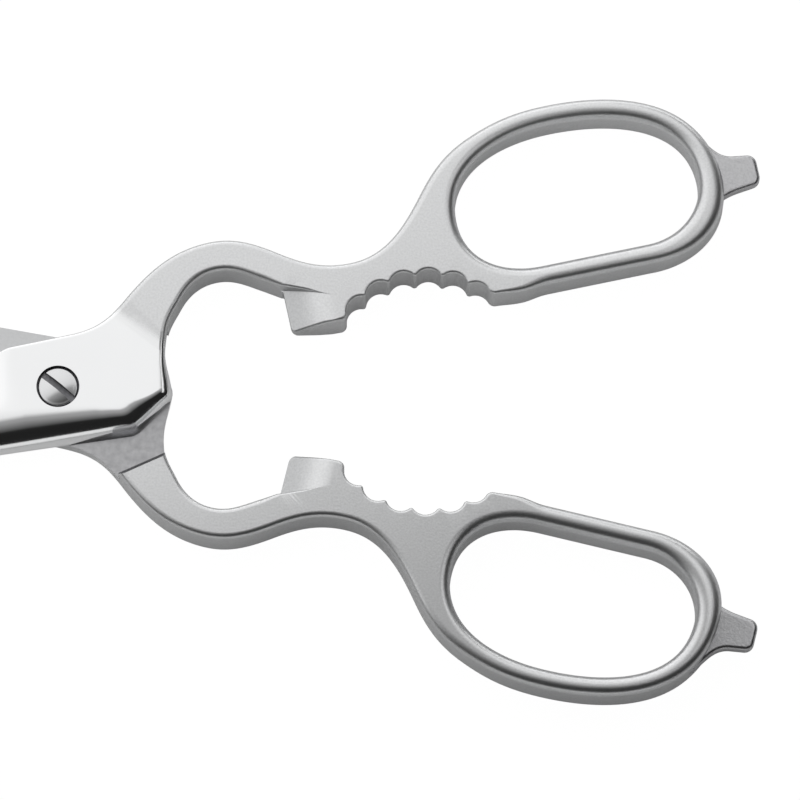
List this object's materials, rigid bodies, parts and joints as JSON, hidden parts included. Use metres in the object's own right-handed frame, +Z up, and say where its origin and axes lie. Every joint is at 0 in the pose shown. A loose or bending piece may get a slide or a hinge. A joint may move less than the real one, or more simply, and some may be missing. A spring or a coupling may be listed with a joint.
{
  "type": "multi-purpose scissors",
  "caption": "All-metal multi-purpose scissors with lap-jointed blades on a slotted screw, jar-lid arches with lugs, scalloped grips, finger loops and end tabs.",
  "frame": {"origin": "middle of the footprint at the open pose of the picture, on the surface that the handles lie on", "axes": "+X from the blade tips towards the finger loops along the middle line, +Y towards the finger loop of the upper half, +Z up, out of the face that shows the screw head"},
  "size_m": [0.1936, 0.095, 0.008],
  "materials": {
    "lower_steel": "satin handle, polished pivot plate and blade",
    "upper_steel": "satin handle, polished pivot plate and blade",
    "screw_steel": "polished"
  },
  "bodies": {
    "lower": {"lower_half": "lower_steel", "pivot_screw": "screw_steel"},
    "upper": {"upper_half": "upper_steel"}
  },
  "joints": [
    {"name": "blade_pivot", "type": "hinge", "parent": "lower", "child": "upper", "pos_m": [-0.0109, 0, 0.004], "axis": [0, 0, 1], "range_deg": [-25.7, 83]}
  ]
}
